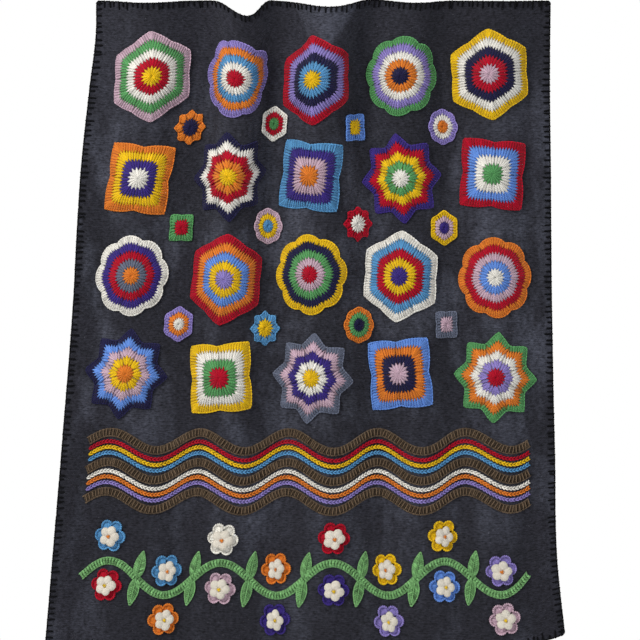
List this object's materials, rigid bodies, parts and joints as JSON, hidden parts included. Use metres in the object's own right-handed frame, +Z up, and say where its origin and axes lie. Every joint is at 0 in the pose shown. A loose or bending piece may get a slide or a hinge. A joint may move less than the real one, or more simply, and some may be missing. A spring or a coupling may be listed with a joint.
{
  "type": "felt tapestry with crocheted applique",
  "caption": "Charcoal felt hanging in soft folds from its top edge, sewn with crocheted hexagons, squares, stars and rosettes, waved strips and cords, and a flowering vine border.",
  "frame": {"origin": "middle of the cloth's top edge, at the middle of its thickness", "axes": "+Z up, -Y out of the decorated front, +X to the right when seen from the front"},
  "size_m": [0.8581, 0.0599, 1.0782],
  "materials": {
    "felt": "thick charcoal felt with a short brushed nap and lighter worn blotches",
    "red_yarn": "matt red yarn in crochet stitches",
    "orange_yarn": "matt orange yarn in crochet stitches",
    "yellow_yarn": "matt yellow yarn in crochet stitches",
    "white_yarn": "matt white yarn in crochet stitches",
    "navy_yarn": "matt navy yarn in crochet stitches",
    "purple_yarn": "matt purple yarn in crochet stitches",
    "lilac_yarn": "matt lilac yarn in crochet stitches",
    "pink_yarn": "matt pink yarn in crochet stitches",
    "sky_yarn": "matt sky yarn in crochet stitches",
    "cornflower_yarn": "matt cornflower yarn in crochet stitches",
    "green_yarn": "matt green yarn in crochet stitches",
    "grey_yarn": "matt grey yarn in crochet stitches",
    "brown_yarn": "matt brown yarn in crochet stitches"
  },
  "bodies": {
    "root": {"felt_cloth": "felt", "hexagon_11": "pink_yarn", "rosette_12": "lilac_yarn", "hexagon_13": "red_yarn", "rosette_14": "green_yarn", "hexagon_15": "yellow_yarn", "square_21": "orange_yarn", "star_22": "navy_yarn", "square_23": "sky_yarn", "star_24": "purple_yarn", "square_25": "red_yarn", "rosette_31": "white_yarn", "hexagon_32": "red_yarn", "rosette_33": "yellow_yarn", "hexagon_34": "white_yarn", "rosette_35": "orange_yarn", "star_41": "navy_yarn", "square_42": "yellow_yarn", "star_43": "grey_yarn", "square_44": "cornflower_yarn", "star_45": "green_yarn", "small_star_11": "orange_yarn", "small_hexagon_12": "white_yarn", "small_square_13": "cornflower_yarn", "small_rosette_14": "lilac_yarn", "small_square_21": "green_yarn", "small_rosette_22": "pink_yarn", "small_star_23": "red_yarn", "small_hexagon_24": "yellow_yarn", "small_hexagon_31": "lilac_yarn", "small_star_32": "sky_yarn", "small_rosette_33": "orange_yarn", "small_square_34": "grey_yarn", "strip_upper": "brown_yarn", "cord_red": "red_yarn", "cord_yellow": "yellow_yarn", "cord_sky": "sky_yarn", "strip_middle": "brown_yarn", "cord_white": "white_yarn", "cord_orange": "orange_yarn", "cord_lilac": "lilac_yarn", "strip_lower": "brown_yarn", "vine": "green_yarn", "flower_inner_1": "red_yarn", "flower_inner_2": "sky_yarn", "flower_inner_3": "pink_yarn", "flower_inner_4": "orange_yarn", "flower_inner_5": "purple_yarn", "flower_inner_6": "yellow_yarn", "flower_inner_7": "cornflower_yarn", "flower_inner_8": "lilac_yarn", "flower_outer_1": "sky_yarn", "flower_outer_2": "orange_yarn", "flower_outer_3": "white_yarn", "flower_outer_4": "purple_yarn", "flower_outer_5": "red_yarn", "flower_outer_6": "lilac_yarn", "flower_outer_7": "yellow_yarn", "flower_outer_8": "pink_yarn"}
  },
  "joints": []
}
